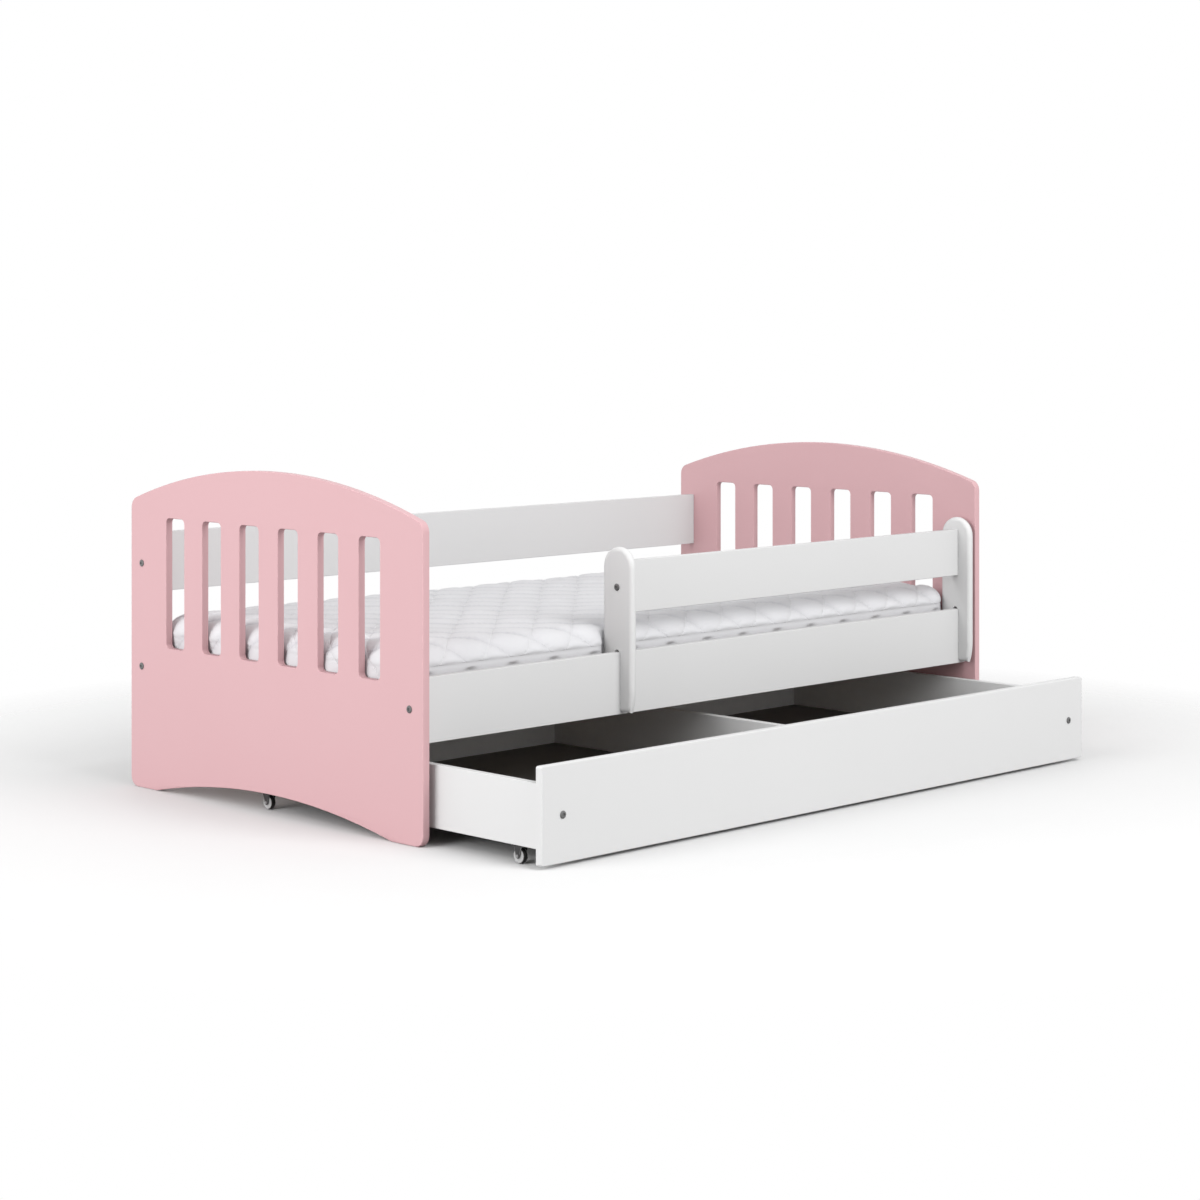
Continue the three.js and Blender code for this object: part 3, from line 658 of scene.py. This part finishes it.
def soft_waves(points, seed, reach, count=7):
    """Slow random waves between -1 and 1, for cloth that is never quite regular."""
    dice = np.random.default_rng(seed)
    total = np.zeros(len(points))
    for _ in range(count):
        heading = dice.normal(size=points.shape[1])
        heading *= 2 * math.pi / reach * dice.uniform(0.6, 1.4) / np.linalg.norm(heading)
        total += np.sin(points @ heading + dice.uniform(0, 2 * math.pi))
    return total / count * 1.6


def quilt_squares(flat):
    """Coordinates that are whole numbers on the seams. The seams wander a little, as sewn ones do."""
    a = (flat[:, 0] + flat[:, 1]) / math.sqrt(2) - QUILT_PHASE_A
    b = (flat[:, 0] - flat[:, 1]) / math.sqrt(2) - QUILT_PHASE_B
    a = a + soft_waves(flat, 11, SEAM_WANDER_REACH) * SEAM_WANDER
    b = b + soft_waves(flat, 12, SEAM_WANDER_REACH) * SEAM_WANDER
    return np.stack([a, b], 1) / QUILT_PITCH


def mattress_form():
    """The plain cover: its points, faces, places unrolled flat, runs from the top's edge, and its floor.

    The unrolled places carry the quilting over the edge without stretching it.
    """
    low, high = (np.array(c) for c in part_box("mattress"))
    size = high - low
    inner = size[:2] / 2 - MATTRESS_SHOULDER
    centre = (low + high) / 2
    counts = [int(round(length / MATTRESS_STEP)) for length in size[:2]] + [MATTRESS_SIDE_ROWS]
    grid, faces = box_grid(counts)
    plan = (grid[:, :2] / counts[:2] - 0.5) * size[:2]
    nearest = np.clip(plan, -inner, inner)
    away = plan - nearest
    reach = np.abs(away).max(1)
    on_top = grid[:, 2] == counts[2]
    down = 1 - grid[:, 2] / counts[2]
    run_total = EDGE_PROFILE[-1, 0]
    run = np.where(on_top, reach, MATTRESS_SHOULDER + down * (run_total - MATTRESS_SHOULDER))
    direction = away / np.maximum(np.linalg.norm(away, axis=1), 1e-9)[:, None]
    out = np.interp(run, EDGE_PROFILE[:, 0], EDGE_PROFILE[:, 1])
    drop = np.interp(run, EDGE_PROFILE[:, 0], EDGE_PROFILE[:, 2])
    place = np.empty((len(grid), 3))
    place[:, :2] = centre[:2] + nearest + direction * out[:, None]
    place[:, 2] = high[2] - drop
    unrolled = centre[:2] + nearest + direction * run[:, None]
    return place, faces, unrolled, run, low[2]


def make_room_for_posts(place):
    """The cover gives way round the two guard posts."""
    for node in ("guard_post_foot", "guard_post_head"):
        low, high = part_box(node)
        along = np.abs(place[:, 0] - (low.x + high.x) / 2) - (high.x - low.x) / 2
        share = 1 - smooth_step(POST_ROOM, POST_DENT_REACH, along)
        limit = high.y + POST_ROOM
        short = np.clip(limit - place[:, 1], 0, None)
        place[:, 1] += np.where(short < POST_DENT_DEPTH, short, 0) * share


def puffs(flat, squares, run, at_end):
    """How far the cover stands up between its seams.

    Round puffs fall steeply to narrow seams, and short creases run square off each seam.
    """
    off = np.abs(squares - np.round(squares)) * QUILT_PITCH
    near = off.min(1)
    rise = np.sin(off / QUILT_PITCH * math.pi)
    dome = rise[:, 0] ** 0.7 * rise[:, 1] ** 0.3
    along = np.where(off[:, 0] < off[:, 1], squares[:, 1], squares[:, 0]) * QUILT_PITCH
    crease = np.sin(along / CREASE_SPACING * 2 * math.pi + soft_waves(flat, 21, 0.05) * CREASE_WANDER)
    crease *= (1 + soft_waves(flat, 22, 0.09)) * near / CREASE_REACH * np.exp(1 - near / CREASE_REACH)
    puff = PUFF_HEIGHT * (1 + soft_waves(flat, 23, 0.14) * PUFF_VARIATION) * dome
    height = puff + CREASE_HEIGHT * crease
    height += DRAPE_HEIGHT * soft_waves(flat, 24, 0.3) - PUFF_SINK
    lowest = LIP_RUN + (END_QUILT_RUN - LIP_RUN) * at_end
    quilted = 1 - smooth_step(lowest - LIP_FADE, lowest, run)
    return height * quilted - BAND_SINK * (1 - quilted)


def side_band(flat, run, at_end):
    """Below the lip the band along the two long sides is gathered into shallow scallops."""
    off = np.mod(flat[:, 0] - SCALLOP_PHASE + SCALLOP_PITCH / 2, SCALLOP_PITCH) - SCALLOP_PITCH / 2
    below = smooth_step(SCALLOP_RUN - SCALLOP_FADE, SCALLOP_RUN, run)
    return -SCALLOP_DEPTH * np.exp(-(off / SCALLOP_WIDTH) ** 2) * below * (1 - at_end)


def mattress():
    place, faces, flat, run, bottom = mattress_form()
    squares = quilt_squares(flat)
    piece = mesh_piece("mattress_quilted", place, faces, finishes["mattress_cover"], (len(faces) - 1,))
    normals = np.array([v.normal for v in piece.data.vertices])
    at_end = smooth_step(0.3, 0.7, normals[:, 0] ** 2 / (normals[:, 0] ** 2 + normals[:, 1] ** 2 + 1e-9))
    lift = puffs(flat, squares, run, at_end) + side_band(flat, run, at_end)
    lift *= 1 - smooth_step(BAND_PLAIN_FROM, BAND_SMOOTH_FROM, run)
    final = place + normals * lift[:, None]
    make_room_for_posts(final)
    final[:, 2] = np.maximum(final[:, 2], bottom)
    piece.data.vertices.foreach_set("co", final.astype(np.float32).ravel())
    marks = piece.data.attributes.new("quilt", "FLOAT_VECTOR", "POINT")
    past_lip = run - LIP_RUN - (END_QUILT_RUN - LIP_RUN) * at_end
    marks.data.foreach_set("vector", np.column_stack([squares, past_lip]).astype(np.float32).ravel())
    piece.data.update()
    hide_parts("mattress")
    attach(piece, "bed_frame")


# ---- Studio ----

LAMPS = (
    ("left", (-6.0, 0.0, 1.6), 3.4, 137.0),
    ("left_high", (-4.2, 0.5, 3.6), 3.0, 56.0),
    ("front", (0.0, -6.0, 1.6), 3.4, 45.0),
    ("front_high", (0.0, -4.2, 3.6), 3.4, 138.0),
)


def studio():
    world = bpy.data.worlds.new("studio")
    bpy.context.scene.world = world
    world.use_nodes = True
    sky = world.node_tree.nodes["Background"]
    sky.inputs["Color"].default_value = grey(1.0)
    sky.inputs["Strength"].default_value = SKY_STRENGTH
    floor()
    backdrop()
    for name, place, size, power in LAMPS:
        soft_light(name, place, size, power)
    view_settings = bpy.context.scene.view_settings
    view_settings.view_transform = "Standard"
    view_settings.look = "None"


def floor():
    """A pale floor that fades out well beyond the bed's shadow."""
    finish = Finish("studio_floor")
    dust = finish.noise(3.0, 3.0)
    far = finish.add("ShaderNodeVectorMath", {"operation": "LENGTH"}, {0: finish.place})["Value"]
    fade = finish.clamped((FLOOR_GONE_AT - far) / (FLOOR_GONE_AT - FLOOR_CLEAR_TO))
    material = finish.surface({
        "Base Color": finish.mix(dust, grey(0.95), grey(0.97)),
        "Roughness": 0.7 + dust * 0.1,
        "Alpha": fade,
        "Specular IOR Level": 0.1,
    })
    half = FLOOR_GONE_AT
    corners = [(x, y, -FLOOR_GAP) for x, y in ((-half, -half), (half, -half), (half, half), (-half, half))]
    return mesh_piece("floor", corners, [(0, 1, 2, 3)], material)


def backdrop():
    """A plain white ball far outside everything. It is seen, and reflected, but lights nothing."""
    paper = Finish("backdrop_paper")
    glow = paper.add("ShaderNodeEmission", {}, {"Color": grey(1.0), "Strength": 1.0})
    paper.add("ShaderNodeOutputMaterial", {}, {"Surface": glow})
    tilts = np.linspace(BACKDROP_POLE, math.pi - BACKDROP_POLE, BACKDROP_RINGS)
    rings = [(-math.cos(t) * BACKDROP_RADIUS, math.sin(t) * BACKDROP_RADIUS, 0) for t in tilts]
    ball = turned_piece("backdrop", rings, BACKDROP_SIDES, (0, 0, 0), (0, 0, 1), paper.material)
    ball.modifiers.clear()
    ball.visible_diffuse = False
    ball.visible_shadow = False
    return ball


def soft_light(name, place, size, power):
    lamp = bpy.data.lights.new(name, "AREA")
    lamp.shape = "DISK"
    lamp.size = size
    lamp.energy = power
    lamp.cycles.max_bounces = LIGHT_BOUNCES
    holder = bpy.data.objects.new(name, lamp)
    holder.location = place
    aim = Vector((0, 0, 0.3)) - Vector(place)
    holder.rotation_euler = aim.to_track_quat("-Z", "Y").to_euler()
    holder.visible_glossy = False
    bpy.context.scene.collection.objects.link(holder)


def camera():
    data = bpy.data.cameras.new("camera")
    data.sensor_width = 36
    data.lens = CAMERA_LENS
    data.shift_y = CAMERA_DROP
    holder = bpy.data.objects.new("camera", data)
    holder.location = CAMERA_PLACE
    holder.rotation_euler = (math.radians(90), 0, -math.radians(CAMERA_TURN))
    bpy.context.scene.collection.objects.link(holder)
    bpy.context.scene.camera = holder


# ---- The bed ----

camera()
studio()
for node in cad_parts:
    dress(node)
mattress()
for rail in ("front_rail", "rear_rail", "rear_upper_rail"):
    bolt(rail + "_foot_bolt", "bed_frame", (-1, 0, 0))
    bolt(rail + "_head_bolt", "bed_frame", (1, 0, 0))
bolt("guard_foot_bolt", "guard", (-1, 0, 0))
bolt("guard_head_bolt", "guard", (1, 0, 0))
bolt("drawer_foot_bolt", "drawer", (0, -1, 0))
bolt("drawer_head_bolt", "drawer", (0, -1, 0))
for place in ("front_foot", "front_head", "rear_foot", "rear_head"):
    wheel(place)
    rolled_edge_painted_highlight(place, -1)
    rolled_edge_painted_highlight(place, 1)
